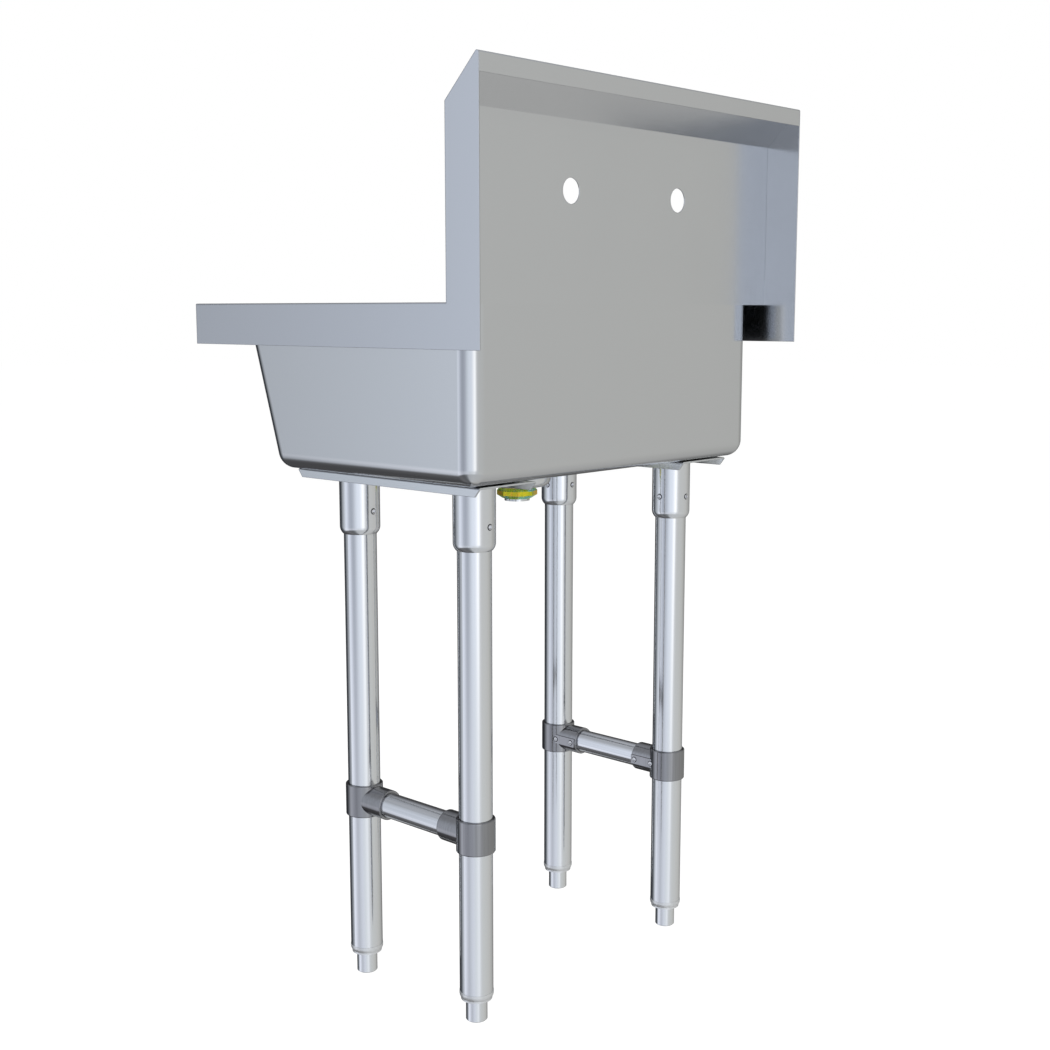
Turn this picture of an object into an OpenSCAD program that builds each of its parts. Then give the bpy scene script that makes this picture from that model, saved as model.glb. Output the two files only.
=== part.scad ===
// Free-standing stainless laundry sink: one bowl, a raised backsplash and four braced tube legs.
// Millimetres. The floor is z = 0, the wall is on the +Y side and the user stands on the -Y side.

/* [Overall] */
// Width across the two end panels
sink_w = 604.8; // [540:0.1:760]
// Depth from the front apron to the wall
sink_d = 498.5; // [470:0.1:620]
// Height of the rim above the floor
rim_z = 867.8; // [780:0.1:980]
// Thickness of the stainless sheet
sheet_t = 1.3; // [0.9:0.1:1.8]

/* [Rim] */
// Height of the apron that hangs from the rim
apron_h = 49.9; // [25:0.1:80]
// Width of the deck at each side of the bowl
side_deck_w = 35.7; // [25:0.1:60]
// Width of the deck in front of the bowl
front_deck_w = 43.3; // [30:0.1:70]
// Outer radius of the rim's bends
rim_bend_r = 2.2; // [2:0.1:5]

/* [Backsplash] */
// Height of the splash's front face above the rim
splash_front_h = 206.2; // [150:0.1:260]
// Slope of the splash's top, in degrees from level
splash_slant = 45; // [30:1:50]
// Depth of the splash from its front face to the wall
splash_d = 49.2; // [35:0.1:70]
// Height of the flange that turns down at the wall
splash_flange_h = 21.1; // [10:0.1:40]
// Outer radius of the splash's bends
splash_bend_r = 2.6; // [2:0.1:5]
// Spacing of the two faucet holes
faucet_spacing = 203.2; // [100:0.1:300]
// Diameter of each faucet hole
faucet_hole_d = 29.4; // [20:0.1:36]
// Height of the faucet holes above the rim
faucet_hole_h = 126.6; // [60:0.1:140]

/* [Bowl] */
// Depth of the bowl from the rim to the underside of its floor
bowl_depth = 203.2; // [150:0.1:230]
// Outer radius of the bowl's coved corners
bowl_corner_r = 21.8; // [12:0.1:26]
// Lean of the bowl's front wall away from upright, in degrees
bowl_front_lean = 17.4; // [5:0.1:22]
// Distance of the drain's axis in front of the splash
drain_setback = 177; // [140:0.1:200]
// Diameter of the drain's hole in the floor
drain_hole_d = 87; // [86.4:0.1:90]
// Diameter of the pressed recess round the drain
drain_recess_d = 116; // [113:0.1:122]
// Depth of the pressed recess round the drain
drain_recess_h = 2.6; // [2:0.1:4]

/* [Leg channels] */
// Width of each channel across its flanges
channel_w = 95; // [80:0.1:110]
// Length of each channel from front to back
channel_len = 316; // [280:0.1:330]
// Height of each channel
channel_h = 11; // [8:0.1:20]
// Thickness of the channel's plate
channel_t = 2.3; // [1.5:0.1:3]
// Outer radius of the channel's bends
channel_bend_r = 3; // [3:0.1:5]
// Length of the slanted cut at each end of the flanges
channel_bevel = 7.2; // [3:0.1:12]
// Distance from the wall to the channel's back end
channel_setback = 64.2; // [55:0.1:80]
// Height of the weld dimples between channel and bowl
dimple_h = 1.2; // [0.8:0.1:3]
// Diameter of each weld dimple
dimple_d = 14; // [8:0.1:20]

/* [Legs] */
// Distance from each side of the sink to its legs' axes
leg_inset = 111.5; // [100:0.1:125]
// Spacing of the legs from front to back
leg_spacing_y = 201.2; // [180:0.1:220]
// Distance from the wall to the back legs' axes
leg_setback = 118.2; // [105:0.1:130]
// Outer diameter of the leg tubes
leg_od = 41.3; // [38:0.1:44]
// Wall of the leg tubes and brace tubes
tube_wall = 1.3; // [1:0.1:2]
// Room left above each leg inside its socket
leg_top_room = 12; // [5:0.1:25]

/* [Leg sockets] */
// Wall of the sockets round the legs
socket_wall = 4.4; // [3:0.1:6]
// Height of the sockets
socket_h = 79; // [50:0.1:100]
// Radius of the curve by which each socket draws in to its leg
socket_curve_r = 13; // [6:0.1:20]
// Wall left at the sockets' lower edge
socket_lip = 0.5; // [0.3:0.1:2]
// Height of the set screws above the sockets' lower edge
socket_screw_h = 29.3; // [18:0.1:40]
// Gap between a leg and its socket
socket_gap = 0.35; // [0.1:0.05:0.6]

/* [Braces] */
// Height of the brace tubes' axes above the floor
brace_z = 235.5; // [160:0.1:400]
// Outer diameter of the brace tubes
brace_od = 31.8; // [25:0.1:33]
// Wall of the tees, in the collar and the arm alike
tee_wall = 2.9; // [2:0.1:3.8]
// Gap between a tee and the tubes that pass into it
tee_gap = 0.4; // [0.1:0.05:0.8]
// Height of the tee collars
tee_h = 41.4; // [39:0.1:60]
// Reach of the tee arms from the legs' axes
tee_reach = 49; // [46:0.1:70]
// Radius of the tees' rounded edges
tee_edge_r = 1.4; // [0.5:0.1:1.4]
// Height of the flat pad that takes the set screws
pad_h = 12.5; // [10:0.1:16]
// Distance from the leg's axis to the pad's face
pad_reach = 20.8; // [20.3:0.1:23]
// Distance from the leg's axis to the screw that presses on the leg
leg_screw_y = 13.3; // [12.5:0.1:14.5]
// Distance from the arm's mouth to the screw that presses on the brace
brace_screw_inset = 7.5; // [6.5:0.1:9]

/* [Set screws] */
// Diameter of the set screws
screw_d = 8; // [5:0.1:9]
// Size across the flats of the key socket
key_w = 4; // [2.5:0.1:4]
// Depth of the key socket
key_depth = 2.4; // [1.5:0.1:3]
// How far each set screw stands out of its seat
screw_stand = 0.8; // [0.2:0.1:2]

/* [Feet] */
// Length of foot that shows below its insert
foot_show = 27.5; // [20:0.1:50]
// Diameter of the foot's stem
foot_d = 26.4; // [20:0.1:30]
// Chamfer round the foot's lower edge
foot_chamfer = 0.8; // [0.3:0.1:4]
// How far each foot screws in or out
foot_travel = 12.7; // [5:0.1:15]
// Length of stem that stays hidden in the insert
stem_hidden = 20; // [17:0.1:30]
// Diameter of the foot's threaded stud
stud_d = 10; // [6:0.1:14]
// Length of the threaded stud
stud_len = 38; // [32:0.1:60]
// How far the insert's collar stands out past the leg
collar_lip = 0.4; // [0:0.1:3]
// Height of the insert's collar below the leg
insert_collar_h = 10; // [7.6:0.1:15]
// Length of the whole insert
insert_len = 60; // [55:0.1:90]
// Radius of the insert collar's lower edge
insert_edge_r = 7.2; // [1:0.1:7.4]

/* [Drain] */
// Diameter of the drain's flange in the bowl
flange_d = 112; // [100:0.1:112.6]
// Thickness of the drain's flange
flange_t = 1.5; // [1:0.1:1.9]
// Thickness of the drain's pressed sheet
drain_t = 1.2; // [0.8:0.1:1.5]
// Outer diameter of the seat that hangs in the floor's hole
seat_od = 84.8; // [80:0.1:84.8]
// Depth of the basket's seat below the flange's top
seat_depth = 4; // [3:0.1:6]
// Inner diameter of the drain's cup
cup_bore_d = 74; // [60:0.1:76]
// Depth of the drain's cup below the flange's top
cup_depth = 28.8; // [26:0.1:40]
// Outer diameter of the drain's outlet
outlet_od = 33; // [28:0.1:36]
// Wall of the drain's outlet
outlet_wall = 3; // [2:0.1:4]
// Length of the outlet below the drain's cup
outlet_len = 22.6; // [21.8:0.1:60]
// Outer diameter of the clamp cup under the floor
clamp_od = 88; // [87.9:0.1:92]
// Height of the clamp cup
clamp_h = 27; // [25:0.1:36]
// Wall of the clamp cup
clamp_t = 1.5; // [1:0.1:1.5]
// Outer radius of the clamp cup's lower edge
clamp_edge_r = 10; // [4:0.1:14]
// Width of the clamp cup's rim and of its gasket
clamp_rim_w = 6; // [4:0.1:8]
// Thickness of the gasket
gasket_t = 2.5; // [1.5:0.1:4]
// Diameter of the friction washer
washer_d = 52; // [42:0.1:60]
// Thickness of the friction washer
washer_t = 1.5; // [1:0.1:3]
// Size across the locknut's corners
nut_corners = 53; // [48:0.1:58]
// Height of the locknut
nut_h = 14.7; // [12:0.1:16]
// Height of the slanted facets at the locknut's lower end
nut_low_slant_h = 4.8; // [1:0.1:5.6]
// Wall left at the locknut's lower end
nut_low_wall = 0.6; // [0.4:0.1:3]
// Height of the slanted facets at the locknut's upper end
nut_top_slant_h = 4.3; // [1:0.1:5]
// How far the locknut's upper facets draw in
nut_top_inset = 3.3; // [1:0.1:5]

/* [Strainer basket] */
// Outer diameter of the basket's lip
lip_d = 81; // [78:0.1:82]
// Outer diameter of the basket's wall
basket_d = 71; // [50:0.1:73]
// Depth of the basket below its lip
basket_depth = 20; // [15:0.1:21]
// Thickness of the basket's sheet
basket_t = 0.9; // [0.6:0.1:1.2]
// Diameter of the holes in the basket
basket_hole_d = 4.2; // [2:0.1:5]
// Diameter of the lift knob
knob_d = 17; // [10:0.1:22]
// Height of the lift knob's head
knob_h = 8; // [5:0.1:12]
// Diameter of the lift knob's post
post_d = 6; // [4:0.1:8]
// Radius of the knob's edges
knob_edge_r = 2.4; // [0.5:0.1:2.4]
// Height of the knob's head above the basket's lip
knob_rise = -2; // [-4:0.1:12]
// Diameter of the rubber stopper under the basket
stopper_d = 42; // [36:0.1:60]
// Thickness of the rubber stopper
stopper_h = 3; // [1.5:0.1:4]
// Radius of the rubber stopper's lower edge
stopper_edge_r = 0.7; // [0.2:0.1:0.9]

/* [Hidden] */
$fn = 64;
// Sides of the balls that round the bowl's corners
ball_sides = 40;
// Overrun of every cut past the face that it leaves
cut = 2;
// Running gap round the feet and their studs
foot_gap = 0.08;
// Gap round the inserts inside the leg tubes
insert_gap = 0.15;
// Gap round the drain's nested pieces
drain_gap = 0.2;
// Gap under the rubber stopper when the basket is down
stopper_gap = 0.3;

steel = "lightsteelblue";
cast_steel = "slategray";
zinc = "yellowgreen";
rubber = "dimgray";

half_w = sink_w / 2;
front_y = -sink_d / 2;
wall_y = sink_d / 2;
splash_y = wall_y - splash_d;
deck_z = rim_z - sheet_t;
apron_z = rim_z - apron_h;
side = [1, -1];

// The bowl's outer box, and the front wall's outer face at any height
bowl_half_w = half_w - side_deck_w;
bowl_z = rim_z - bowl_depth;
bowl_back_y = splash_y + sheet_t;
splash_apex_z = rim_z + splash_front_h + splash_d * tan(splash_slant);
splash_top_z = splash_apex_z + splash_bend_r * (1 - 1 / tan(45 - splash_slant / 2));
function bowl_front_y(z) = front_y + front_deck_w + (rim_z - z) * tan(bowl_front_lean);

// The opening in the deck, flush with the bowl's inner faces
open_half_w = bowl_half_w - sheet_t;
open_front_y = bowl_front_y(rim_z) + sheet_t / cos(bowl_front_lean);
open_r = bowl_corner_r - sheet_t;
deck_joint_y = open_front_y + open_r;
// How much of the back corners' fillet the side decks fill
deck_tip_share = 0.75;

// Drain heights, from the floor's recess down
drain_y = splash_y - drain_setback;
recess_z = bowl_z + sheet_t - drain_recess_h;
recess_under_z = bowl_z - drain_recess_h;
flange_z = recess_z + flange_t;
seat_z = flange_z - seat_depth;
cup_z = flange_z - cup_depth;
outlet_z = cup_z - outlet_len;
clamp_top_z = recess_under_z - gasket_t;
clamp_z = clamp_top_z - clamp_h;
nut_top_z = clamp_z - washer_t;

// Legs, their channels and sockets
leg_x = half_w - leg_inset;
back_leg_y = wall_y - leg_setback;
front_leg_y = back_leg_y - leg_spacing_y;
leg_bore_d = leg_od - 2 * tube_wall;
channel_z = bowl_z - dimple_h;
channel_back_y = wall_y - channel_setback;
socket_top_z = channel_z - channel_t;
socket_z = socket_top_z - socket_h;
socket_od = leg_od + 2 * (socket_gap + socket_wall);
insert_od = leg_od + 2 * collar_lip;
leg_z = foot_show + insert_collar_h;
leg_top_z = socket_top_z - leg_top_room;

// Tees and braces
tee_bore_d = leg_od + 2 * tee_gap;
tee_od = tee_bore_d + 2 * tee_wall;
arm_bore_d = brace_od + 2 * tee_gap;
arm_od = arm_bore_d + 2 * tee_wall;
brace_start = tee_bore_d / 2 + tee_wall + tee_gap;
pad_start = screw_d;
pad_end = tee_reach - tee_edge_r;
pad_screws = [leg_screw_y, tee_reach - brace_screw_inset];

// Set screws reach from their seats to the tube that they press on
socket_screw_len = socket_wall + socket_gap + screw_stand;

// The basket's holes: two rings in its floor, and one round its wall
floor_ring_counts = [6, 12];
floor_ring_shares = [0.38, 0.74];
wall_hole_count = 16;
wall_hole_share = 0.55;
// Sides of each of those holes
small_sides = 24;

// Distance from a tube's axis to its surface, at an offset across the axis
function tube_depth(od, offset) = sqrt(od * od / 4 - offset * offset);
function unit(v) = v / norm(v);

// Points where a corner's fillet of radius r meets its two edges
function corner_points(before, at, after, r) =
    let (u = unit(before - at), v = unit(after - at), half = acos(u * v) / 2)
    r > 0 ? [at + u * r / tan(half), at + v * r / tan(half)] : [at];

// Centre of that fillet
function corner_centre(before, at, after, r) =
    let (u = unit(before - at), v = unit(after - at), half = acos(u * v) / 2)
    at + unit(u + v) * r / sin(half);

// Convex outline whose corners have the given radii
module rounded_outline(points, radii) {
    n = len(points);
    function before(i) = points[(i + n - 1) % n];
    function after(i) = points[(i + 1) % n];
    polygon([for (i = [0:n - 1]) each corner_points(before(i), points[i], after(i), radii[i])]);
    for (i = [0:n - 1])
        if (radii[i] > 0)
            translate(corner_centre(before(i), points[i], after(i), radii[i])) circle(radii[i]);
}

// Rectangle from one corner to the other
module box_outline(low, high, radii = [0, 0, 0, 0]) {
    rounded_outline([low, [high[0], low[1]], high, [low[0], high[1]]], radii);
}

// Round tube or ring between two heights
module ring(od, id, low, high) {
    translate([0, 0, low]) difference() {
        cylinder(d = od, h = high - low);
        translate([0, 0, -cut]) cylinder(d = id, h = high - low + 2 * cut);
    }
}

// Outline in Y and Z, extruded along X between two places
module along_x(low, high) {
    translate([low, 0, 0]) rotate([90, 0, 90]) linear_extrude(high - low) children();
}

// Outline in X and Z, extruded along Y between two places
module along_y(low, high) {
    translate([0, high, 0]) rotate([90, 0, 0]) linear_extrude(high - low) children();
}

// Cylinder along X, outward from the origin
module peg_x(d, len) {
    rotate([0, 90, 0]) cylinder(d = d, h = len);
}

// Ball whose flats and sides reach the full radius
module corner_ball(r) {
    sphere(r / cos(180 / ball_sides), $fn = ball_sides);
}

// Solid inside the bowl's outer faces, drawn in by an inset and open past the rim
module bowl_blank(inset) {
    r = bowl_corner_r - inset;
    top_z = rim_z + bowl_corner_r;
    low_z = bowl_z + bowl_corner_r;
    hull()
        for (x = side * (bowl_half_w - bowl_corner_r), z = [low_z, top_z]) {
            translate([x, bowl_back_y - bowl_corner_r, z]) corner_ball(r);
            translate([x, bowl_front_y(z) + bowl_corner_r / cos(bowl_front_lean), z]) corner_ball(r);
        }
}

module bowl() {
    color(steel) difference() {
        union() {
            bowl_blank(0);
            translate([0, drain_y, recess_under_z])
                cylinder(d = drain_recess_d + 2 * sheet_t, h = drain_recess_h + sheet_t / 2);
        }
        bowl_blank(sheet_t);
        translate([0, drain_y, recess_z]) cylinder(d = drain_recess_d, h = drain_recess_h + cut);
        translate([0, drain_y, recess_under_z - cut]) cylinder(d = drain_hole_d, h = sheet_t + 2 * cut);
        translate([-half_w, front_y, deck_z]) cube([sink_w, sink_d, bowl_depth]);
    }
}

// Room inside the rim's outer faces, with its upper edges and front corners rounded
module rim_envelope() {
    r = rim_bend_r;
    intersection() {
        along_y(front_y, wall_y)
            box_outline([-half_w, apron_z], [half_w, rim_z], [0, 0, r, r]);
        along_x(-half_w, half_w)
            box_outline([front_y, apron_z], [wall_y, rim_z], [0, 0, 0, r]);
        translate([0, 0, apron_z]) linear_extrude(apron_h)
            box_outline([-half_w, front_y], [half_w, wall_y], [r, r, 0, 0]);
    }
}

// The bowl's opening through the deck
module deck_opening() {
    translate([0, 0, deck_z - cut]) linear_extrude(sheet_t + 2 * cut)
        box_outline([-open_half_w, open_front_y], [open_half_w, splash_y], open_r * [1, 1, 1, 1]);
}

module front_rim() {
    color(steel) intersection() {
        difference() {
            translate([-half_w, front_y, apron_z]) cube([sink_w, deck_joint_y - front_y, apron_h]);
            translate([-half_w - cut, front_y + sheet_t, apron_z - cut])
                cube([sink_w + 2 * cut, deck_joint_y - front_y, apron_h - sheet_t + cut]);
            deck_opening();
        }
        rim_envelope();
    }
}

// Outline of the splash in Y and Z, down to a given height, drawn in by an inset
module splash_outline(low_z, inset) {
    y1 = splash_y + inset;
    y2 = wall_y - inset;
    r = splash_bend_r - inset;
    function slope_z(y) = splash_apex_z - inset / cos(splash_slant) - (wall_y - y) * tan(splash_slant);
    rounded_outline([[y1, low_z], [y2, low_z], [y2, slope_z(y2)], [y1, slope_z(y1)]], [0, 0, r, r]);
}

module backsplash() {
    open_h = splash_top_z - splash_flange_h - deck_z;
    color(steel) difference() {
        along_x(sheet_t - half_w, half_w - sheet_t) difference() {
            splash_outline(deck_z, 0);
            splash_outline(deck_z - cut, sheet_t);
            translate([wall_y - sheet_t - cut, deck_z - cut]) square([sheet_t + 2 * cut, open_h + cut]);
        }
        for (x = side * faucet_spacing / 2)
            translate([x, splash_y - cut, rim_z + faucet_hole_h])
                rotate([-90, 0, 0]) cylinder(d = faucet_hole_d, h = sheet_t + 2 * cut);
    }
}

// End panel of the right-hand side: apron, splash end and deck strip in one sheet
module end_panel() {
    tip_x = open_half_w - open_r * deck_tip_share;
    color(steel) union() {
        intersection() {
            difference() {
                translate([tip_x, front_y + sheet_t, apron_z])
                    cube([half_w - tip_x, sink_d - sheet_t, apron_h]);
                translate([tip_x - cut, front_y, apron_z - cut])
                    cube([half_w - tip_x + cut - sheet_t, sink_d, apron_h - sheet_t + cut]);
                translate([tip_x - cut, front_y, deck_z - cut])
                    cube([half_w - tip_x + cut - sheet_t, deck_joint_y - front_y, sheet_t + 2 * cut]);
                translate([half_w - sheet_t - cut, front_y, deck_z])
                    cube([sheet_t + 2 * cut, deck_joint_y - front_y, sheet_t + cut]);
                translate([tip_x - cut, splash_y, deck_z - cut])
                    cube([half_w - tip_x + cut - sheet_t, splash_d + cut, sheet_t + 2 * cut]);
                deck_opening();
            }
            rim_envelope();
        }
        along_x(half_w - sheet_t, half_w) splash_outline(apron_z, 0);
    }
}

module right_end_panel() {
    end_panel();
}

module left_end_panel() {
    mirror([1, 0, 0]) end_panel();
}

// Channel under the bowl for the two legs of one side
module leg_channel(x) {
    low_z = channel_z - channel_h;
    r = channel_bend_r;
    front_end = channel_back_y - channel_len;
    color(steel) difference() {
        union() {
            along_y(front_end, channel_back_y) difference() {
                box_outline([x - channel_w / 2, low_z], [x + channel_w / 2, channel_z], [0, 0, r, r]);
                box_outline(
                    [x - channel_w / 2 + channel_t, low_z - cut],
                    [x + channel_w / 2 - channel_t, channel_z - channel_t],
                    (r - channel_t) * [0, 0, 1, 1]
                );
            }
            for (dx = side * channel_w / 4, y = [front_leg_y, back_leg_y])
                translate([x + dx, y, channel_z - channel_t / 2]) cylinder(d = dimple_d, h = dimple_h + channel_t / 2);
        }
        along_x(x - channel_w, x + channel_w) {
            polygon([
                [channel_back_y + cut, low_z - cut], [channel_back_y - channel_bevel, low_z - cut],
                [channel_back_y - channel_bevel, low_z], [channel_back_y, channel_z - channel_t],
                [channel_back_y + cut, channel_z - channel_t]
            ]);
            polygon([
                [front_end - cut, low_z - cut], [front_end + channel_bevel, low_z - cut],
                [front_end + channel_bevel, low_z], [front_end, channel_z - channel_t],
                [front_end - cut, channel_z - channel_t]
            ]);
        }
    }
}

module right_leg_channel() {
    leg_channel(leg_x);
}

module left_leg_channel() {
    leg_channel(-leg_x);
}

// Socket welded under a channel, with its set screws' holes towards the wall and the middle
module socket(x, y) {
    bore_r = leg_od / 2 + socket_gap;
    centre_r = socket_od / 2 - socket_curve_r;
    curve_z = socket_z + tube_depth(2 * socket_curve_r, bore_r + socket_lip - centre_r);
    screw_z = socket_z + socket_screw_h;
    color(steel) translate([x, y, 0]) difference() {
        rotate_extrude() {
            translate([bore_r, curve_z]) square([socket_wall, socket_top_z - curve_z]);
            intersection() {
                translate([bore_r, socket_z]) square([socket_wall, socket_h]);
                translate([centre_r, curve_z]) circle(socket_curve_r);
            }
        }
        for (turn = [90, x > 0 ? 180 : 0])
            translate([0, 0, screw_z]) rotate([0, 0, turn]) peg_x(screw_d, socket_od);
    }
}

module right_front_socket() {
    socket(leg_x, front_leg_y);
}

module right_back_socket() {
    socket(leg_x, back_leg_y);
}

module left_front_socket() {
    socket(-leg_x, front_leg_y);
}

module left_back_socket() {
    socket(-leg_x, back_leg_y);
}

module leg(x, y) {
    color(steel) translate([x, y, 0]) ring(leg_od, leg_bore_d, leg_z, leg_top_z);
}

module right_front_leg() {
    leg(leg_x, front_leg_y);
}

module right_back_leg() {
    leg(leg_x, back_leg_y);
}

module left_front_leg() {
    leg(-leg_x, front_leg_y);
}

module left_back_leg() {
    leg(-leg_x, back_leg_y);
}

// Tee at the origin: collar upright, arm towards +Y, screw pad towards +X
module tee_shape() {
    e = tee_edge_r;
    difference() {
        union() {
            rotate_extrude()
                box_outline([0, -tee_h / 2], [tee_od / 2, tee_h / 2], e * [0, 1, 1, 0]);
            rotate([-90, 0, 0]) rotate_extrude()
                box_outline([0, 0], [arm_od / 2, tee_reach], e * [0, 0, 1, 0]);
            translate([0, pad_start, -pad_h / 2]) cube([pad_reach, pad_end - pad_start, pad_h]);
        }
        translate([0, 0, -tee_h]) cylinder(d = tee_bore_d, h = 2 * tee_h);
        translate([0, brace_start - tee_gap, 0])
            rotate([-90, 0, 0]) cylinder(d = arm_bore_d, h = tee_reach);
        for (y = pad_screws)
            translate([0, y, 0]) peg_x(screw_d, tee_od);
    }
}

// Tee on the leg at x, y, with its arm towards the other leg of that side
module tee(x, y) {
    color(cast_steel) translate([x, y, brace_z])
        mirror([x > 0 ? 1 : 0, 0, 0]) mirror([0, y == back_leg_y ? 1 : 0, 0]) tee_shape();
}

module right_front_tee() {
    tee(leg_x, front_leg_y);
}

module right_back_tee() {
    tee(leg_x, back_leg_y);
}

module left_front_tee() {
    tee(-leg_x, front_leg_y);
}

module left_back_tee() {
    tee(-leg_x, back_leg_y);
}

module brace(x) {
    color(steel) translate([x, front_leg_y, brace_z]) rotate([-90, 0, 0])
        ring(brace_od, brace_od - 2 * tube_wall, brace_start, leg_spacing_y - brace_start);
}

module right_brace() {
    brace(leg_x);
}

module left_brace() {
    brace(-leg_x);
}

// Set screw along X with its tip at the origin and its key socket outwards
module set_screw(len) {
    difference() {
        peg_x(screw_d, len);
        translate([len - key_depth, 0, 0]) rotate([0, 90, 0])
            cylinder(d = key_w / cos(30), h = key_depth + cut, $fn = 6);
    }
}

module socket_set_screws() {
    color(steel)
        for (x = side * leg_x, y = [front_leg_y, back_leg_y], turn = [90, x > 0 ? 180 : 0])
            translate([x, y, socket_z + socket_screw_h]) rotate([0, 0, turn])
                translate([leg_od / 2, 0, 0]) set_screw(socket_screw_len);
}

// The two set screws in a tee's pad, each down to the tube that it presses on
module pad_set_screws() {
    seats = [tube_depth(leg_od, pad_screws[0] - screw_d / 2), brace_od / 2];
    for (i = [0, 1])
        translate([seats[i], pad_screws[i], 0]) set_screw(pad_reach + screw_stand - seats[i]);
}

module tee_set_screws() {
    color(steel)
        for (x = side * leg_x, y = [front_leg_y, back_leg_y])
            translate([x, y, brace_z])
                mirror([x > 0 ? 1 : 0, 0, 0]) mirror([0, y == back_leg_y ? 1 : 0, 0]) pad_set_screws();
}

// Threaded insert in a leg's lower end
module insert(x, y) {
    pocket_h = stem_hidden + foot_travel + foot_gap;
    plug_d = leg_bore_d - 2 * insert_gap;
    color(cast_steel) translate([x, y, foot_show]) difference() {
        union() {
            // The rounded edge stops where the collar meets the leg
            rotate_extrude() intersection() {
                box_outline([0, 0], [insert_od / 2, insert_collar_h], insert_edge_r * [0, 1, 0, 0]);
                translate([0, -cut]) square([insert_od / 2 + cut, insert_collar_h + cut]);
            }
            cylinder(d = plug_d, h = insert_len);
        }
        translate([0, 0, -cut]) cylinder(d = foot_d + 2 * foot_gap, h = pocket_h + cut);
        cylinder(d = stud_d + 2 * foot_gap, h = insert_len + cut);
    }
}

module right_front_insert() {
    insert(leg_x, front_leg_y);
}

module right_back_insert() {
    insert(leg_x, back_leg_y);
}

module left_front_insert() {
    insert(-leg_x, front_leg_y);
}

module left_back_insert() {
    insert(-leg_x, back_leg_y);
}

// Levelling foot: a round stem on a threaded stud
module foot(x, y) {
    stem_h = foot_show + stem_hidden;
    r = foot_d / 2;
    color(steel) translate([x, y, 0]) union() {
        rotate_extrude() polygon([
            [0, 0], [r - foot_chamfer, 0], [r, foot_chamfer], [r, stem_h], [0, stem_h]
        ]);
        cylinder(d = stud_d, h = stem_h + stud_len);
    }
}

module right_front_foot() {
    foot(leg_x, front_leg_y);
}

module right_back_foot() {
    foot(leg_x, back_leg_y);
}

module left_front_foot() {
    foot(-leg_x, front_leg_y);
}

module left_back_foot() {
    foot(-leg_x, back_leg_y);
}

// Half section turned about the drain's axis
module drain_turned() {
    translate([0, drain_y, 0]) rotate_extrude() children();
}

module drain_body() {
    cup_r = cup_bore_d / 2;
    seat_r = seat_od / 2;
    outlet_r = outlet_od / 2;
    color(steel) drain_turned() polygon([
        [flange_d / 2, recess_z], [flange_d / 2, flange_z], [seat_r - drain_t, flange_z],
        [seat_r - drain_t, seat_z], [cup_r, seat_z], [cup_r, cup_z + drain_t],
        [outlet_r - outlet_wall, cup_z + drain_t], [outlet_r - outlet_wall, outlet_z],
        [outlet_r, outlet_z], [outlet_r, cup_z], [cup_r + drain_t, cup_z],
        [cup_r + drain_t, seat_z - drain_t], [seat_r, seat_z - drain_t], [seat_r, recess_z]
    ]);
}

module drain_clamp_cup() {
    r = clamp_od / 2;
    hole_r = outlet_od / 2 + drain_gap;
    inner_edge_r = clamp_edge_r - clamp_t;
    color(steel) drain_turned() difference() {
        union() {
            box_outline([0, clamp_z], [r, clamp_top_z], [0, clamp_edge_r, 0, 0]);
            translate([0, clamp_top_z - clamp_t]) square([r + clamp_rim_w, clamp_t]);
        }
        box_outline([0, clamp_z + clamp_t], [r - clamp_t, clamp_top_z + cut], [0, inner_edge_r, 0, 0]);
        translate([0, clamp_z - cut]) square([hole_r, clamp_h]);
    }
}

module drain_gasket() {
    color(rubber) translate([0, drain_y, 0])
        ring(clamp_od + 2 * clamp_rim_w, drain_hole_d + 2 * drain_gap, clamp_top_z, recess_under_z);
}

module drain_washer() {
    color("tan") translate([0, drain_y, 0])
        ring(washer_d, outlet_od + 2 * drain_gap, nut_top_z, clamp_z);
}

// Eight-sided locknut whose facets slant inwards at both ends
module drain_locknut() {
    r = nut_corners / 2;
    bore_r = outlet_od / 2 + drain_gap;
    low_r = (bore_r + nut_low_wall) / cos(180 / 8);
    band_h = nut_h - nut_low_slant_h - nut_top_slant_h;
    color(zinc) translate([0, drain_y, nut_top_z - nut_h]) difference() {
        union() {
            cylinder(r1 = low_r, r2 = r, h = nut_low_slant_h, $fn = 8);
            translate([0, 0, nut_low_slant_h]) cylinder(r = r, h = band_h, $fn = 8);
            translate([0, 0, nut_low_slant_h + band_h])
                cylinder(r1 = r, r2 = r - nut_top_inset, h = nut_top_slant_h, $fn = 8);
        }
        translate([0, 0, -cut]) cylinder(r = bore_r, h = nut_h + 2 * cut);
    }
}

module strainer_basket() {
    r = basket_d / 2;
    floor_z = seat_z - basket_depth;
    wall_hole_z = seat_z - basket_depth * wall_hole_share;
    color(steel) difference() {
        drain_turned() polygon([
            [0, floor_z], [r, floor_z], [r, seat_z], [lip_d / 2, seat_z], [lip_d / 2, seat_z + basket_t],
            [r - basket_t, seat_z + basket_t], [r - basket_t, floor_z + basket_t], [0, floor_z + basket_t]
        ]);
        translate([0, drain_y, 0]) {
            translate([0, 0, floor_z - cut]) cylinder(d = post_d, h = basket_t + 2 * cut);
            for (k = [0, 1], i = [1:floor_ring_counts[k]])
                rotate([0, 0, i * 360 / floor_ring_counts[k]])
                    translate([r * floor_ring_shares[k], 0, floor_z - cut])
                        cylinder(d = basket_hole_d, h = basket_t + 2 * cut, $fn = small_sides);
            for (i = [1:wall_hole_count])
                translate([0, 0, wall_hole_z]) rotate([0, 0, (i - 1 / 2) * 360 / wall_hole_count])
                    translate([r - basket_t - cut, 0, 0])
                        peg_x(basket_hole_d, basket_t + 2 * cut, $fn = small_sides);
        }
    }
}

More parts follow.
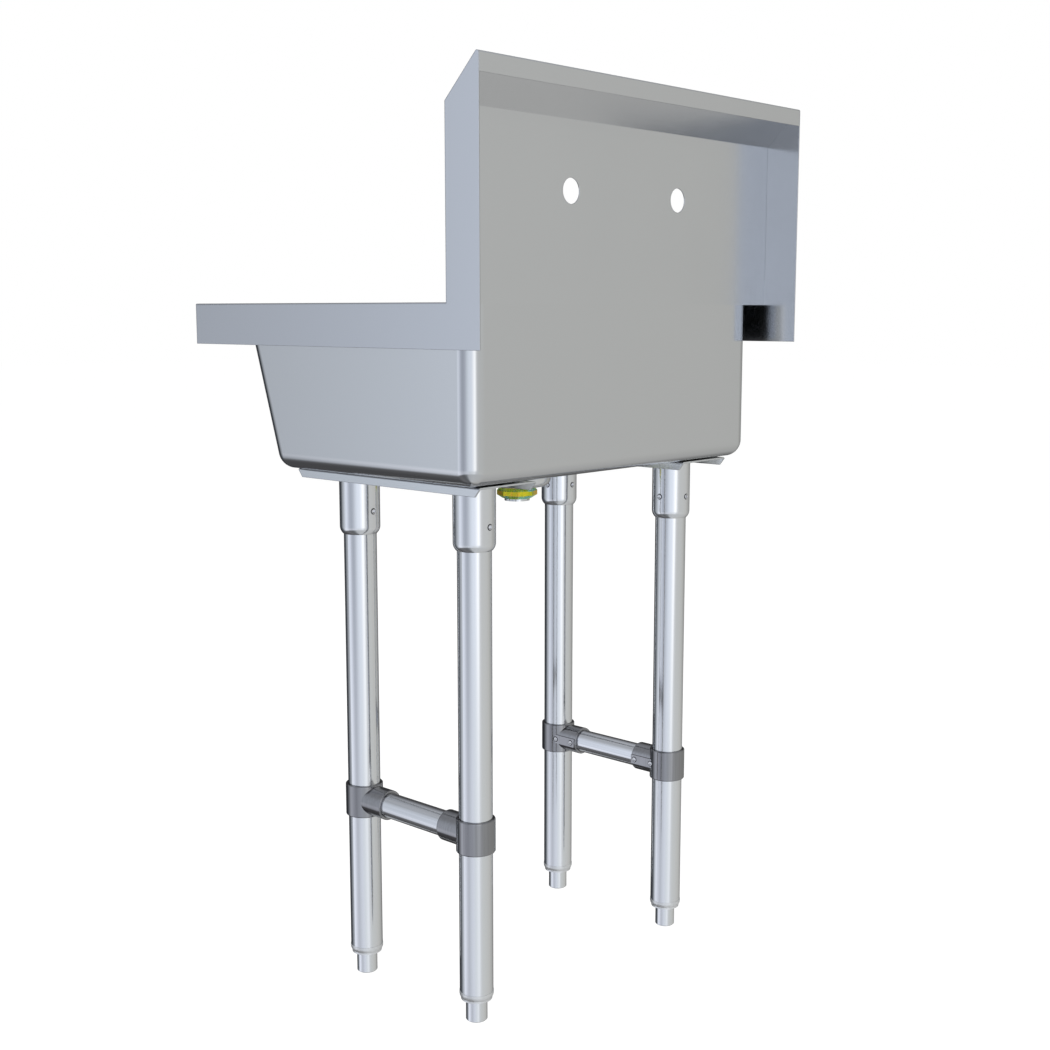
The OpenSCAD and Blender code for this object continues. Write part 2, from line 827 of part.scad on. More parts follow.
module basket_stopper() {
    floor_z = seat_z - basket_depth;
    low_z = max(floor_z - stopper_h, cup_z + drain_t + stopper_gap);
    color(rubber) drain_turned()
        box_outline([post_d / 2, low_z], [stopper_d / 2, floor_z], stopper_edge_r * [0, 1, 0, 0]);
}

// Lift knob: a mushroom head on a post through the basket's floor
module basket_knob() {
    floor_z = seat_z - basket_depth;
    head_z = seat_z + knob_rise;
    color(steel) drain_turned() union() {
        box_outline([0, head_z], [knob_d / 2, head_z + knob_h], knob_edge_r * [0, 1, 1, 0]);
        translate([0, floor_z]) square([post_d / 2, head_z + knob_h / 2 - floor_z]);
    }
}

bowl();
front_rim();
right_end_panel();
left_end_panel();
backsplash();
right_leg_channel();
left_leg_channel();
right_front_socket();
right_back_socket();
left_front_socket();
left_back_socket();
right_front_leg();
right_back_leg();
left_front_leg();
left_back_leg();
right_front_tee();
right_back_tee();
left_front_tee();
left_back_tee();
right_brace();
left_brace();
socket_set_screws();
tee_set_screws();
right_front_insert();
right_back_insert();
left_front_insert();
left_back_insert();
right_front_foot();
right_back_foot();
left_front_foot();
left_back_foot();
drain_body();
drain_clamp_cup();
drain_gasket();
drain_washer();
drain_locknut();
strainer_basket();
basket_stopper();
basket_knob();
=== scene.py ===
"""Looks for the laundry sink: materials, smooth bowl, set screws, studio and the photo's camera."""
import math
import bpy
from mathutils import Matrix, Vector


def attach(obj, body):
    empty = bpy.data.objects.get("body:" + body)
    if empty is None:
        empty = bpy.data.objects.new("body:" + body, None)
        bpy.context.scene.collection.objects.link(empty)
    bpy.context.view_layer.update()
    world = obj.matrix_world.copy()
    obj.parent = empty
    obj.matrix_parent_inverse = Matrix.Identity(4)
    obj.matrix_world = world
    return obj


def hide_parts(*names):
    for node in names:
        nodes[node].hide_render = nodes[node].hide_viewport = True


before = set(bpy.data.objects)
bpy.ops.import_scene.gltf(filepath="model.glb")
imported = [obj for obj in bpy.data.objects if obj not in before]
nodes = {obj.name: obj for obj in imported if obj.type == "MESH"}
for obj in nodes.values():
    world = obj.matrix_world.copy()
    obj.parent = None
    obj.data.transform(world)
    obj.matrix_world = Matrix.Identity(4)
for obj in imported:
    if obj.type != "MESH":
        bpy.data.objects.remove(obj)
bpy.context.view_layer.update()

MM = 0.001

# Camera, solved from the photograph's straight edges, without shift.
CAMERA_PLACE = (1.395, 1.309, 0.859)
CAMERA_LOOKS = (-0.7311, -0.6666, -0.1454)
CAMERA_LENS_MM = 50
CAMERA_SENSOR_MM = 36

# What polished metal sees around it, by compass direction in degrees from +X towards +Y:
# level with the horizon, 20 to 29 degrees below it, and more than 35 degrees below it.
STUDIO_RING = [
    (-180, (0.42, 0.42, 0.41)), (-150, (0.10, 0.10, 0.10)), (-110, (0.05, 0.05, 0.06)),
    (-80, (0.06, 0.07, 0.08)), (-68, (0.36, 0.38, 0.41)), (-57, (0.54, 0.57, 0.62)),
    (-47, (0.72, 0.77, 0.85)), (-36, (0.96, 1.02, 1.14)), (-26, (0.80, 0.85, 0.97)),
    (-14, (0.54, 0.58, 0.67)), (-2, (0.48, 0.52, 0.60)), (10, (0.58, 0.62, 0.71)),
    (22, (0.80, 0.86, 0.96)), (34, (0.96, 1.03, 1.15)), (48, (1.02, 1.08, 1.20)),
    (58, (1.26, 1.30, 1.38)), (66, (1.52, 1.54, 1.57)), (73, (1.30, 1.32, 1.34)),
    (80, (0.80, 0.81, 0.83)), (92, (0.69, 0.70, 0.70)), (115, (0.68, 0.69, 0.68)),
    (145, (0.64, 0.64, 0.62)), (162, (0.50, 0.50, 0.48)), (180, (0.42, 0.42, 0.41)),
]
STUDIO_LOW_RING = [
    (-180, (0.45, 0.45, 0.44)), (-150, (0.12, 0.12, 0.12)), (-110, (0.05, 0.05, 0.06)),
    (-80, (0.07, 0.08, 0.09)), (-66, (0.30, 0.32, 0.35)), (-56, (0.66, 0.69, 0.76)),
    (-44, (1.10, 1.14, 1.26)), (-30, (0.92, 0.96, 1.07)), (-15, (0.70, 0.73, 0.82)),
    (-3, (0.63, 0.66, 0.74)), (10, (0.75, 0.79, 0.88)), (25, (0.84, 0.88, 0.98)),
    (42, (0.86, 0.91, 0.97)), (56, (0.98, 1.02, 1.07)), (66, (1.03, 1.07, 1.12)),
    (77, (0.78, 0.80, 0.83)), (90, (0.73, 0.75, 0.75)), (115, (0.70, 0.71, 0.70)),
    (145, (0.65, 0.65, 0.63)), (164, (0.55, 0.55, 0.53)), (180, (0.45, 0.45, 0.44)),
]
STUDIO_FLOOR_RING = [
    (-180, (0.50, 0.50, 0.49)), (-165, (0.30, 0.30, 0.30)), (-145, (0.08, 0.08, 0.08)),
    (-80, (0.09, 0.09, 0.095)), (-45, (0.19, 0.19, 0.20)), (-5, (0.15, 0.155, 0.165)),
    (12, (0.24, 0.255, 0.27)), (26, (0.58, 0.60, 0.63)), (60, (0.66, 0.68, 0.70)),
    (120, (0.64, 0.65, 0.65)), (150, (0.62, 0.62, 0.61)), (180, (0.50, 0.50, 0.49)),
]
STUDIO_OVERHEAD = (0.54, 0.56, 0.60)

# Heights of the ray (the sine of its angle above the horizon) where each passes to the next.
LOW_BLEND = (-0.15, -0.34)
FLOOR_BLEND = (-0.49, -0.58)
OVERHEAD_BLEND = (0.4, 0.75)
SOFT_LIGHT = 0.55

FLOOR_SIZE = 40
FLOOR_COLOUR = (0.8, 0.8, 0.8)
FLOOR_ROUGH = 0.9
FLOOR_GLOW = 0.86
FLOOR_SHADE = (0.26, 0.26, 0.26)

# Each lamp's place in metres and its power in watts.
LAMP_SIZE = 1.6
LAMP_AIM = (0, 0, 0.5)
LAMPS = {"key": ((1.6, 1.2, 2.6), 28), "fill": ((-1.8, 0.6, 2.2), 16), "front": ((0.6, -2.2, 2.2), 20)}

WHITE = (1, 1, 1)


# Node helpers

def new_material(name):
    material = bpy.data.materials.new(name)
    material.use_nodes = True
    tree = material.node_tree
    return material, tree, tree.nodes["Principled BSDF"]


def add(tree, kind, inputs=None, **settings):
    """A new node with its settings, and its inputs either linked from sockets or set to values."""
    node = tree.nodes.new(kind)
    for key, value in settings.items():
        setattr(node, key, value)
    for key, value in (inputs or {}).items():
        if isinstance(value, bpy.types.NodeSocket):
            tree.links.new(value, node.inputs[key])
        else:
            node.inputs[key].default_value = value
    return node


def ramp(tree, source, stops):
    """A colour ramp with its stops at positions from 0 to 1."""
    node = add(tree, "ShaderNodeValToRGB", {"Fac": source})
    elements = node.color_ramp.elements
    while len(elements) > 1:
        elements.remove(elements[-1])
    elements[0].position, elements[0].color = stops[0][0], (*stops[0][1], 1)
    for place, colour in stops[1:]:
        elements.new(place).color = (*colour, 1)
    return node.outputs["Color"]


def mix(tree, factor, first, second):
    """One colour passing to another by a factor. Each is a socket or a colour."""
    node = add(tree, "ShaderNodeMix", {"Factor": factor}, data_type="RGBA")
    for key, colour in (("A", first), ("B", second)):
        if isinstance(colour, tuple):
            node.inputs[key].default_value = (*colour, 1)
        else:
            tree.links.new(colour, node.inputs[key])
    return node.outputs["Result"]


def grain(tree, stretch, detail=2.0):
    """Noise over the object's own coordinates, in cycles per metre along X, Y and Z."""
    place = add(tree, "ShaderNodeTexCoord").outputs["Object"]
    mapped = add(tree, "ShaderNodeMapping", {"Vector": place, "Scale": stretch}).outputs["Vector"]
    noise = add(tree, "ShaderNodeTexNoise", {"Vector": mapped, "Scale": 1.0, "Detail": detail})
    return noise.outputs["Fac"]


# Most of a noise lies between these two values.
NOISE_LOW, NOISE_HIGH = 0.3, 0.7


def spread(tree, source, low, high, from_low=NOISE_LOW, from_high=NOISE_HIGH):
    """A value moved from one range to another, and held within it."""
    return add(tree, "ShaderNodeMapRange", {
        "Value": source, "From Min": from_low, "From Max": from_high, "To Min": low, "To Max": high,
    }).outputs["Result"]


def toned(tree, source, colour, tone):
    """A colour made darker and lighter by a share, by a noise."""
    dark = tuple(c * (1 - tone) for c in colour)
    light = tuple(min(1, c * (1 + tone)) for c in colour)
    return ramp(tree, source, [(NOISE_LOW, dark), (NOISE_HIGH, light)])


# Slow clouds, in cycles per metre: they fade the grain by a share and move its roughness.
CLOUDS = (9, 9, 9)
CLOUD_SHARE = 0.5
CLOUD_ROUGH = 0.02
GRAIN_H = 0.0002


def metal(name, colour, rough, stretch, tone=0.03, rough_spread=0.05, bump=0.04, metallic=1.0):
    """Steel with a fine directional grain: tone, roughness and height all follow it."""
    material, tree, shader = new_material(name)
    fine = grain(tree, stretch)
    cloud = grain(tree, CLOUDS)
    base = mix(tree, spread(tree, cloud, 0, CLOUD_SHARE), toned(tree, fine, colour, tone), colour)
    streaks = spread(tree, fine, rough - rough_spread, rough + rough_spread)
    drift = add(tree, "ShaderNodeMath", {
        0: streaks, 1: spread(tree, cloud, -CLOUD_ROUGH, CLOUD_ROUGH),
    }, operation="ADD")
    height = add(tree, "ShaderNodeBump", {"Height": fine, "Strength": bump, "Distance": GRAIN_H})
    tree.links.new(base, shader.inputs["Base Color"])
    tree.links.new(drift.outputs["Value"], shader.inputs["Roughness"])
    tree.links.new(height.outputs["Normal"], shader.inputs["Normal"])
    shader.inputs["Metallic"].default_value = metallic
    return material


EDGE_R = 0.0012
EDGE_SAMPLES = 6
EVERYWHERE = -1.0


def soft_edges(material, above=EVERYWHERE):
    """Rounds the look of the bent and cut sheet edges, from a height upwards."""
    tree = material.node_tree
    place = add(tree, "ShaderNodeTexCoord").outputs["Object"]
    height = add(tree, "ShaderNodeSeparateXYZ", {"Vector": place}).outputs["Z"]
    over = add(tree, "ShaderNodeMath", {0: height, 1: above}, operation="GREATER_THAN")
    radius = add(tree, "ShaderNodeMath", {0: over.outputs["Value"], 1: EDGE_R}, operation="MULTIPLY")
    edge = add(tree, "ShaderNodeBevel", {"Radius": radius.outputs["Value"]}, samples=EDGE_SAMPLES)
    bump = next(node for node in tree.nodes if node.type == "BUMP")
    tree.links.new(edge.outputs["Normal"], bump.inputs["Normal"])


MATT_TONE = 0.15
MATT_ROUGH = 0.08
MATT_BUMP = 0.15
MATT_H = 0.0003


def matt(name, colour, rough, stretch):
    """Rubber or pressed fibre with a fine even surface."""
    material, tree, shader = new_material(name)
    fine = grain(tree, stretch, detail=4)
    tone = toned(tree, fine, colour, MATT_TONE)
    height = add(tree, "ShaderNodeBump", {"Height": fine, "Strength": MATT_BUMP, "Distance": MATT_H})
    roughness = spread(tree, fine, rough - MATT_ROUGH, rough + MATT_ROUGH)
    tree.links.new(tone, shader.inputs["Base Color"])
    tree.links.new(roughness, shader.inputs["Roughness"])
    tree.links.new(height.outputs["Normal"], shader.inputs["Normal"])
    return material


# Materials: grain in cycles per metre, steel colours, then one material for each finish

AROUND = (5, 5, 1500)
ACROSS = (5, 1500, 5)
ALONG_Z = (1500, 1500, 5)
STREAKS_Y = (420, 3, 420)
STREAKS_Z = (420, 420, 6)
EVEN = (700, 700, 700)
FIBRES = (900, 900, 300)

SHEET = (0.61, 0.62, 0.63)
SPLASH = (0.625, 0.635, 0.645)
PANEL = (0.565, 0.58, 0.608)
CHANNEL = (0.63, 0.648, 0.665)
TUBE = (0.72, 0.73, 0.745)
BRACE = (0.66, 0.67, 0.69)
PLUG = (0.74, 0.75, 0.76)
CASTING = (0.29, 0.29, 0.30)
SCREW = (0.74, 0.74, 0.75)
# Near-black steel: painted shade in the gaps round the set screws, over black oxide on their threads.
OXIDE_AND_GAP_SHADE = (0.10, 0.10, 0.11)
DRAIN = (0.70, 0.71, 0.72)
RUBBER = (0.03, 0.03, 0.032)
FIBRE = (0.52, 0.42, 0.28)

SHEET_FINISH = {"tone": 0.006, "rough_spread": 0.008, "bump": 0.004}
PANEL_FINISH = {"tone": 0.008, "rough_spread": 0.008, "bump": 0.004}
TUBE_FINISH = {"tone": 0.01, "rough_spread": 0.015, "bump": 0.006}

splash_wall = metal("splash_grain", SPLASH, 0.24, AROUND, **SHEET_FINISH)
sheet_end = metal("sheet_grain_end", PANEL, 0.17, ALONG_Z, **PANEL_FINISH)
channel_sheet = metal("channel_grain", CHANNEL, 0.17, ALONG_Z, **PANEL_FINISH)
bowl_floor = metal("sheet_grain_deck", SHEET, 0.24, ACROSS, **SHEET_FINISH)
bowl_wall = metal("bowl_polish", SHEET, 0.11, AROUND, tone=0.006, rough_spread=0.008, bump=0.003)
tube = metal("tube_polish", TUBE, 0.15, ALONG_Z, **TUBE_FINISH)
brace_tube = metal("brace_polish", BRACE, 0.13, STREAKS_Y, tone=0.12, rough_spread=0.04, bump=0.03)
fitting = metal("fitting_satin", TUBE, 0.15, ALONG_Z, **TUBE_FINISH)
plug = metal("plug_satin", PLUG, 0.34, EVEN, tone=0.01, rough_spread=0.03, bump=0.01, metallic=0.72)
casting = metal("tee_casting", CASTING, 0.09, STREAKS_Z, tone=0.10, rough_spread=0.03, bump=0.03)
screw = metal("screw_steel", SCREW, 0.2, EVEN)
# The screws' thread and head chamfer get painted shade of the gap round each screw, over black oxide.
screw_shadow = metal("screw_oxide_and_gap_shade", OXIDE_AND_GAP_SHADE, 0.35, EVEN)
drain_steel = metal("drain_steel", DRAIN, 0.2, EVEN, bump=0.02)
rubber = matt("rubber", RUBBER, 0.6, EVEN)
fibre = matt("friction_fibre", FIBRE, 0.75, FIBRES)

# The splash's edges are soft only above the deck, where they stand free.
SPLASH_EDGES_ABOVE = 0.9
soft_edges(sheet_end)
soft_edges(channel_sheet)
soft_edges(splash_wall, above=SPLASH_EDGES_ABOVE)

NUT_UPRIGHT = [
    (0.36, (0.62, 0.62, 0.02)), (0.48, (0.85, 0.74, 0.03)),
    (0.56, (0.95, 0.52, 0.06)), (0.66, (0.80, 0.66, 0.03)),
]
NUT_SLANTED = [
    (0.36, (0.40, 0.85, 0.10)), (0.48, (0.75, 0.98, 0.15)),
    (0.58, (0.35, 0.88, 0.55)), (0.68, (0.30, 0.72, 0.70)),
]
NUT_ROUGH = (0.22, 0.32)
NUT_METALLIC = 0.75
NUT_SLANT = (0.25, 0.5)


def plated_nut():
    """Zinc plate: yellow and orange on the upright faces, lime and teal where they slant."""
    material, tree, shader = new_material("plated_nut")
    upright = ramp(tree, grain(tree, (90, 90, 30), detail=3), NUT_UPRIGHT)
    slanted = ramp(tree, grain(tree, (70, 70, 70), detail=2), NUT_SLANTED)
    normal = add(tree, "ShaderNodeTexCoord").outputs["Normal"]
    facing = add(tree, "ShaderNodeSeparateXYZ", {"Vector": normal}).outputs["Z"]
    steep = add(tree, "ShaderNodeMath", {0: facing}, operation="ABSOLUTE").outputs["Value"]
    film = mix(tree, spread(tree, steep, 0, 1, *NUT_SLANT), upright, slanted)
    tree.links.new(film, shader.inputs["Base Color"])
    tree.links.new(spread(tree, grain(tree, EVEN), *NUT_ROUGH), shader.inputs["Roughness"])
    shader.inputs["Metallic"].default_value = NUT_METALLIC
    return material


NODE_MATERIALS = {
    "front_rim": sheet_end, "backsplash": splash_wall,
    "right_end_panel": sheet_end, "left_end_panel": sheet_end,
    "right_leg_channel": channel_sheet, "left_leg_channel": channel_sheet,
    "right_brace": brace_tube, "left_brace": brace_tube,
    "drain_gasket": rubber, "basket_stopper": rubber,
    "drain_washer": fibre, "drain_locknut": plated_nut(),
}
KIND_MATERIALS = {"socket": fitting, "leg": tube, "tee": casting, "insert": plug, "foot": fitting}


def dress(obj, material):
    obj.data.materials.clear()
    obj.data.materials.append(material)


def new_object(name, data):
    obj = bpy.data.objects.new(name, data)
    bpy.context.scene.collection.objects.link(obj)
    return obj


for name, obj in nodes.items():
    kind = name.rsplit("_", 1)[-1]
    dress(obj, NODE_MATERIALS.get(name) or KIND_MATERIALS.get(kind, drain_steel))


# The bowl in millimetres, lofted by its normals so that its coves are smooth

SHEET_T = 1.3
RIM_Z = 867.8
BOWL_CORNER_R = 21.8
BOWL_SIDE_X = 244.9
BOWL_BACK_Y = 179.55
BOWL_FRONT_RIM_Y = -205.95
BOWL_LEAN = math.radians(17.4)
BOWL_TOP_Z = 866.5
BOWL_LOW_Z = 686.4
FRONT_NORMAL = Vector((0, -math.cos(BOWL_LEAN), -math.sin(BOWL_LEAN)))
DOWN = Vector((0, 0, -1))

SIDE_STEPS, END_STEPS, ARC_STEPS = 32, 40, 14
WALL_ROWS, COVE_ROWS = 6, 14

DRAIN_Y = 23.05
DRAIN_HOLE_R = 43.5
RECESS = 2.6
# Rings over the floor to the drain: (distance from its axis, depth, outward tilt of the normal).
OUTER_FLOOR = [
    (60.4, 0, 0), (59.6, 0.15, 0.5), (59.2, 0.9, 2.5), (58.9, 1.8, 2.5), (58.4, 2.4, 0.7),
    (57.4, RECESS, 0), (DRAIN_HOLE_R, RECESS, 0),
]
INNER_FLOOR = [
    (59.2, 0, 0), (58.6, 0.15, 0.5), (58.1, 0.9, 2.5), (57.8, 1.8, 2.5), (57.4, 2.4, 0.7),
    (56.6, RECESS, 0), (DRAIN_HOLE_R, RECESS, 0),
]
# Points nearer than this, in metres, are one, so that no face has an edge without length.
SAME_PLACE = 1e-6
# Faces whose normal is more upright than this take the grain of the bowl's floor.
BOWL_FLOOR_UP = 0.8


def bowl_front_y(z):
    """Axis of the front corners at a height."""
    return BOWL_FRONT_RIM_Y + (RIM_Z - z) * math.tan(BOWL_LEAN) + BOWL_CORNER_R / math.cos(BOWL_LEAN)


def bowl_columns():
    """Once round the bowl: (wall normal, share across, share to the front) for each upright line."""
    right, back = Vector((1, 0, 0)), Vector((0, 1, 0))
    columns = []

    def wall(normal, steps, start, end):
        for k in range(steps):
            across, forward = (a + (b - a) * k / steps for a, b in zip(start, end))
            columns.append((normal, across, forward))

    def corner(first, second, across, forward):
        for k in range(ARC_STEPS):
            columns.append((first.slerp(second, k / ARC_STEPS), across, forward))

    wall(right, SIDE_STEPS, (1, 1), (1, 0))
    corner(right, back, 1, 0)
    wall(back, END_STEPS, (1, 0), (-1, 0))
    corner(back, -right, -1, 0)
    wall(-right, SIDE_STEPS, (-1, 0), (-1, 1))
    corner(-right, FRONT_NORMAL, -1, 1)
    wall(FRONT_NORMAL, END_STEPS, (-1, 1), (1, 1))
    corner(FRONT_NORMAL, right, 1, 1)
    return columns


def bowl_point(column, radius, z, normal):
    _, across, forward = column
    y = BOWL_BACK_Y + (bowl_front_y(z) - BOWL_BACK_Y) * forward
    return Vector((BOWL_SIDE_X * across, y, z)) + normal * radius


def bowl_skin(radius, floor_steps):
    """Rings of (place, normal): down the wall, round the cove, and over the floor to the drain."""
    columns = bowl_columns()
    rings = []
    for row in range(WALL_ROWS):
        ring = []
        for column in columns:
            normal = column[0]
            top = BOWL_TOP_Z - radius * normal.z
            z = top + (BOWL_LOW_Z - top) * row / WALL_ROWS
            ring.append((bowl_point(column, radius, z, normal), normal))
        rings.append(ring)
    for row in range(COVE_ROWS + 1):
        ring = []
        for column in columns:
            normal = column[0].slerp(DOWN, row / COVE_ROWS)
            ring.append((bowl_point(column, radius, BOWL_LOW_Z, normal), normal))
        rings.append(ring)
    centre = Vector((0, DRAIN_Y, 0))
    edge = [place for place, _ in rings[-1]]
    for reach, depth, tilt in floor_steps:
        ring = []
        for place in edge:
            out = Vector((place.x, place.y - DRAIN_Y, 0)).normalized()
            spot = centre + out * reach
            spot.z = place.z - depth
            ring.append((spot, (DOWN + out * tilt).normalized()))
        rings.append(ring)
    return rings


def smooth_bowl():
    """Both skins of the pressed bowl, joined at the rim and round the drain's hole."""
    outer = bowl_skin(BOWL_CORNER_R, OUTER_FLOOR)
    inner = bowl_skin(BOWL_CORNER_R - SHEET_T, INNER_FLOOR)
    n = len(outer[0])
    verts, normals, faces, corners = [], [], [], []

    def apart(a, b):
        return (verts[a] - verts[b]).length > SAME_PLACE

    def skin(rings, flip):
        """Adds the rings as faces, and returns where the first and the last ring start."""
        start = len(verts)
        for ring in rings:
            for place, normal in ring:
                verts.append(place * MM)
                normals.append(-normal if flip else normal)
        for i in range(len(rings) - 1):
            for k in range(n):
                a, b = start + i * n + k, start + i * n + (k + 1) % n
                loop = [a, a + n]
                if apart(a + n, b + n):
                    loop.append(b + n)
                if apart(a, b):
                    loop.append(b)
                if len(loop) > 2:
                    faces.append(loop[::-1] if flip else loop)
        return start, start + (len(rings) - 1) * n

    outer_top, outer_hole = skin(outer, False)
    inner_top, inner_hole = skin(inner, True)
    skin_faces = len(faces)
    for k in range(n):
        j = (k + 1) % n
        faces.append([outer_top + j, inner_top + j, inner_top + k, outer_top + k])
        if apart(outer_hole + k, outer_hole + j):
            faces.append([outer_hole + k, inner_hole + k, inner_hole + j, outer_hole + j])
    mesh = bpy.data.meshes.new("bowl_pressing")
    mesh.from_pydata(verts, [], faces)
    for polygon in mesh.polygons:
        polygon.use_smooth = True
        for v in polygon.vertices:
            corners.append(normals[v] if polygon.index < skin_faces else polygon.normal.copy())
    mesh.normals_split_custom_set(corners)
    mesh.validate(clean_customdata=False)
    obj = new_object("bowl_pressing", mesh)
    dress(obj, bowl_wall)
    mesh.materials.append(bowl_floor)
    for polygon in mesh.polygons:
        polygon.material_index = int(abs(polygon.normal.z) > BOWL_FLOOR_UP)
    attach(obj, "sink")
    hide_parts("bowl")


smooth_bowl()


# Set screws in millimetres, with a chamfered tip and a six-sided key socket

SCREW_R = 3.75
TIP_CHAMFER = 0.5
# The head's chamfer: its depths under the head's face, and its inner radius.
HEAD_CHAMFER = (0.8, 0.1)
HEAD_CHAMFER_R = SCREW_R - 0.85
HEAD_FACE_R = SCREW_R - 1.0
KEY_HALF_W = 2.0
KEY_CHAMFER = 0.15
KEY_DEPTH = 2.0
KEY_CONE = 0.3
ROUND, SIX_SIDED = False, True

# Bands of faces are counted from the tip. The dark ones are the thread and the head's chamfer: painted
# shade of the gap round each screw, over black oxide left on the thread.
SCREW_STEPS = 48
SCREW_BANDS = 10
SCREW_SHADED_BANDS = (2, 3)
SCREW_SHARP = math.radians(30)


def screw_rings(length):
    """(distance from the tip, radius, six-sided or round) for each ring."""
    start, end = (length - depth for depth in HEAD_CHAMFER)
    return [
        (0, SCREW_R - TIP_CHAMFER, ROUND), (TIP_CHAMFER, SCREW_R, ROUND),
        (start, SCREW_R, ROUND), (end, HEAD_CHAMFER_R, ROUND),
        (length, HEAD_FACE_R, ROUND), (length, KEY_HALF_W + KEY_CHAMFER, SIX_SIDED),
        (length - KEY_CHAMFER, KEY_HALF_W, SIX_SIDED), (length - KEY_DEPTH, KEY_HALF_W, SIX_SIDED),
        (length - KEY_DEPTH, KEY_HALF_W - KEY_CONE, ROUND),
    ]


def add_screw(verts, faces, tip, along, length):
    """One screw, as SCREW_BANDS bands of SCREW_STEPS faces from its tip to the key socket's end."""
    steps = SCREW_STEPS
    across = Vector((0, 0, 1))
    third = along.cross(across)
    rings = screw_rings(length)
    tip_pole, key_pole = len(verts), len(verts) + 1
    verts += [tip * MM, (tip + along * (length - KEY_DEPTH - KEY_CONE)) * MM]
    start = len(verts)
    last = start + (len(rings) - 1) * steps
    for reach, radius, six_sided in rings:
        for k in range(steps):
            turn = 2 * math.pi * k / steps
            to_flat = (turn % (math.pi / 3)) - math.pi / 6
            r = radius / math.cos(to_flat) if six_sided else radius
            outward = across * math.cos(turn) + third * math.sin(turn)
            verts.append((tip + along * reach + outward * r) * MM)
    for k in range(steps):
        faces.append([tip_pole, start + (k + 1) % steps, start + k])
    for i in range(len(rings) - 1):
        for k in range(steps):
            a, b = start + i * steps + k, start + i * steps + (k + 1) % steps
            faces.append([a, b, b + steps, a + steps])
    for k in range(steps):
        faces.append([last + k, last + (k + 1) % steps, key_pole])


def set_screws(node, spots):
    """All the screws of one CAD node, as one piece that replaces it."""
    verts, faces = [], []
    for tip, along, length in spots:
        add_screw(verts, faces, tip, along, length)
    mesh = bpy.data.meshes.new(node + "_turned")
    mesh.from_pydata(verts, [], faces)
    mesh.validate()
    mesh.shade_smooth()
    mesh.set_sharp_from_angle(angle=SCREW_SHARP)
    obj = new_object(node + "_turned", mesh)
    dress(obj, screw)
    # The thread and head chamfer bands take the dark material, which is painted shade of the gap round
    # the screw.
    mesh.materials.append(screw_shadow)
    for polygon in mesh.polygons:
        polygon.material_index = int(polygon.index // SCREW_STEPS % SCREW_BANDS in SCREW_SHADED_BANDS)
    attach(obj, "sink")
    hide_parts(node)


LEG_X = 190.9
LEG_Y = {"front": -70.15, "back": 131.05}
SOCKET_SCREW_Z = 611.4
SOCKET_SCREW_REACH = 20.65
SOCKET_SCREW_L = 5.55
BRACE_Z = 235.5
# In each tee: (distance from the leg's axis along the arm, distance inwards, length).
TEE_SCREWS = [(13.3, 18.44, 3.16), (41.5, 15.9, 5.7)]

BACK = Vector((0, 1, 0))
socket_spots, tee_spots = [], []
for side in (1, -1):
    inward = Vector((-side, 0, 0))
    for end, leg_y in LEG_Y.items():
        leg = Vector((side * LEG_X, leg_y, SOCKET_SCREW_Z))
        for along in (BACK, inward):
            socket_spots.append((leg + along * SOCKET_SCREW_REACH, along, SOCKET_SCREW_L))
        arm = BACK if end == "front" else -BACK
        tee = Vector((side * LEG_X, leg_y, BRACE_Z))
        for reach, out, length in TEE_SCREWS:
            tee_spots.append((tee + arm * reach + inward * out, inward, length))
set_screws("socket_set_screws", socket_spots)
set_screws("tee_set_screws", tee_spots)


# Studio

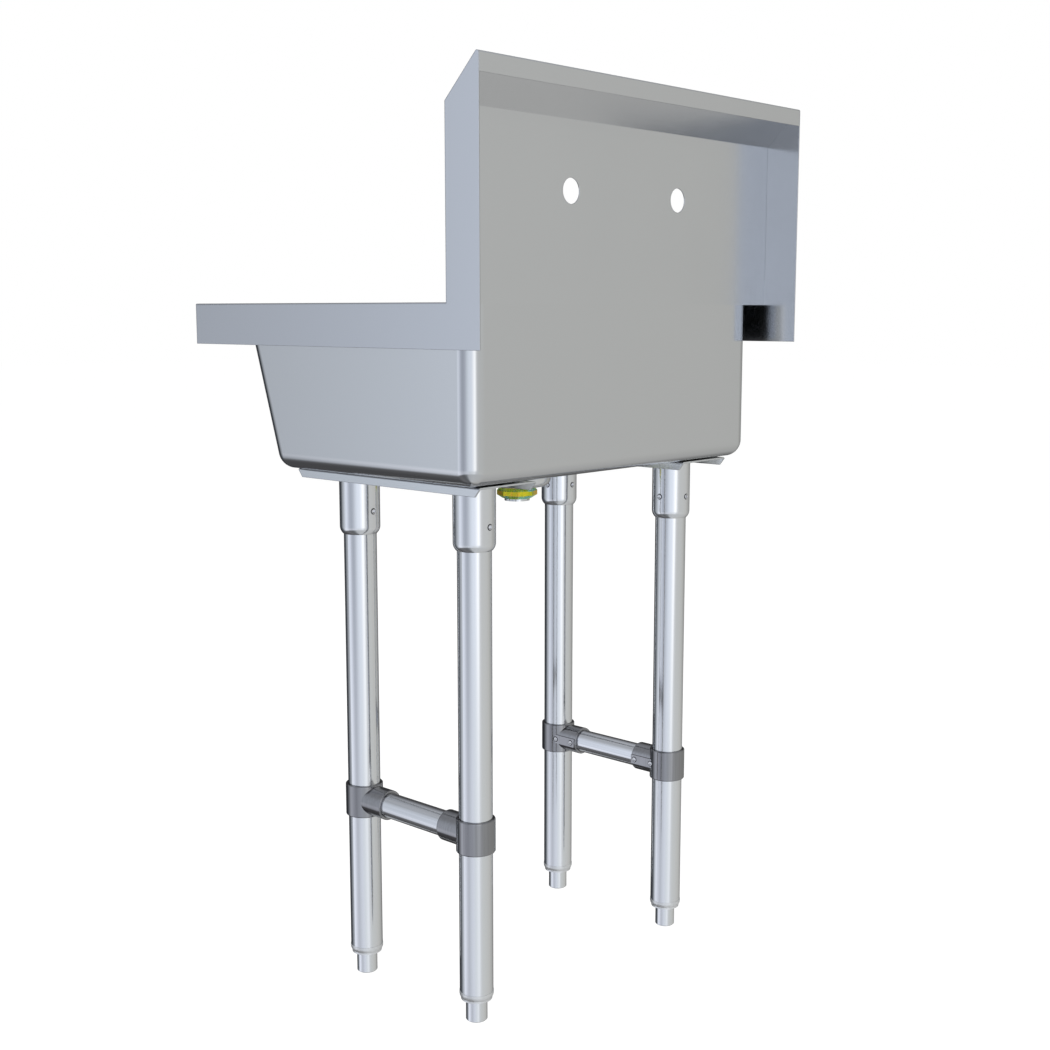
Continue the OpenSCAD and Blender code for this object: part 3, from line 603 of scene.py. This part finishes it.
def studio_world():
    """White to the camera, soft white to matt surfaces, and the studio rings to polished ones."""
    world = bpy.data.worlds.new("studio")
    bpy.context.scene.world = world
    world.use_nodes = True
    tree = world.node_tree
    tree.nodes.clear()
    ray = add(tree, "ShaderNodeTexCoord").outputs["Generated"]
    parts = add(tree, "ShaderNodeSeparateXYZ", {"Vector": ray}).outputs
    compass = add(tree, "ShaderNodeMath", {0: parts["Y"], 1: parts["X"]}, operation="ARCTAN2")
    turn = spread(tree, compass.outputs["Value"], 0, 1, -math.pi, math.pi)
    level, low, under = (
        ramp(tree, turn, [((a + 180) / 360, c) for a, c in stops])
        for stops in (STUDIO_RING, STUDIO_LOW_RING, STUDIO_FLOOR_RING)
    )
    seen = mix(tree, spread(tree, parts["Z"], 0, 1, *LOW_BLEND), level, low)
    seen = mix(tree, spread(tree, parts["Z"], 0, 1, *FLOOR_BLEND), seen, under)
    seen = mix(tree, spread(tree, parts["Z"], 0, 1, *OVERHEAD_BLEND), seen, STUDIO_OVERHEAD)
    path = add(tree, "ShaderNodeLightPath").outputs
    shine = add(tree, "ShaderNodeBackground", {"Color": seen})
    soft = add(tree, "ShaderNodeBackground", {"Color": (*WHITE, 1), "Strength": SOFT_LIGHT})
    white = add(tree, "ShaderNodeBackground", {"Color": (*WHITE, 1)})
    lit = add(tree, "ShaderNodeMixShader", {
        0: path["Is Glossy Ray"], 1: soft.outputs[0], 2: shine.outputs[0],
    })
    shown = add(tree, "ShaderNodeMixShader", {
        0: path["Is Camera Ray"], 1: lit.outputs[0], 2: white.outputs[0],
    })
    add(tree, "ShaderNodeOutputWorld", {"Surface": shown.outputs[0]})


def floor():
    """A pale plain floor that takes a faint shadow, and that polished metal doesn't see."""
    bpy.ops.mesh.primitive_plane_add(size=FLOOR_SIZE)
    plane = bpy.context.object
    plane.name = "studio_floor"
    material, tree, shader = new_material("studio_floor")
    shader.inputs["Base Color"].default_value = (*FLOOR_COLOUR, 1)
    shader.inputs["Roughness"].default_value = FLOOR_ROUGH
    path = add(tree, "ShaderNodeLightPath").outputs
    white = add(tree, "ShaderNodeEmission", {"Color": (*WHITE, 1), "Strength": FLOOR_GLOW})
    shade = add(tree, "ShaderNodeBsdfDiffuse", {"Color": (*FLOOR_SHADE, 1)})
    pale = add(tree, "ShaderNodeAddShader", {0: white.outputs[0], 1: shade.outputs[0]})
    clear = add(tree, "ShaderNodeBsdfTransparent")
    shown = add(tree, "ShaderNodeMixShader", {
        0: path["Is Camera Ray"], 1: shader.outputs[0], 2: pale.outputs[0],
    })
    out = add(tree, "ShaderNodeMixShader", {
        0: path["Is Glossy Ray"], 1: shown.outputs[0], 2: clear.outputs[0],
    })
    tree.links.new(out.outputs[0], tree.nodes["Material Output"].inputs["Surface"])
    dress(plane, material)


def turn_to(obj, direction):
    obj.rotation_euler = direction.to_track_quat("-Z", "Y").to_euler()


def lamp(name, place, power):
    """Square soft lamp that faces the middle of the sink."""
    data = bpy.data.lights.new(name, "AREA")
    data.size = LAMP_SIZE
    data.energy = power
    obj = new_object(name, data)
    obj.location = place
    obj.visible_glossy = False
    turn_to(obj, Vector(LAMP_AIM) - obj.location)


def camera():
    data = bpy.data.cameras.new("photo_camera")
    data.lens = CAMERA_LENS_MM
    data.sensor_width = CAMERA_SENSOR_MM
    obj = new_object("photo_camera", data)
    obj.location = CAMERA_PLACE
    turn_to(obj, Vector(CAMERA_LOOKS))
    bpy.context.scene.camera = obj


studio_world()
floor()
for name, (place, power) in LAMPS.items():
    lamp(name, place, power)
camera()
bpy.context.scene.view_settings.view_transform = "Standard"
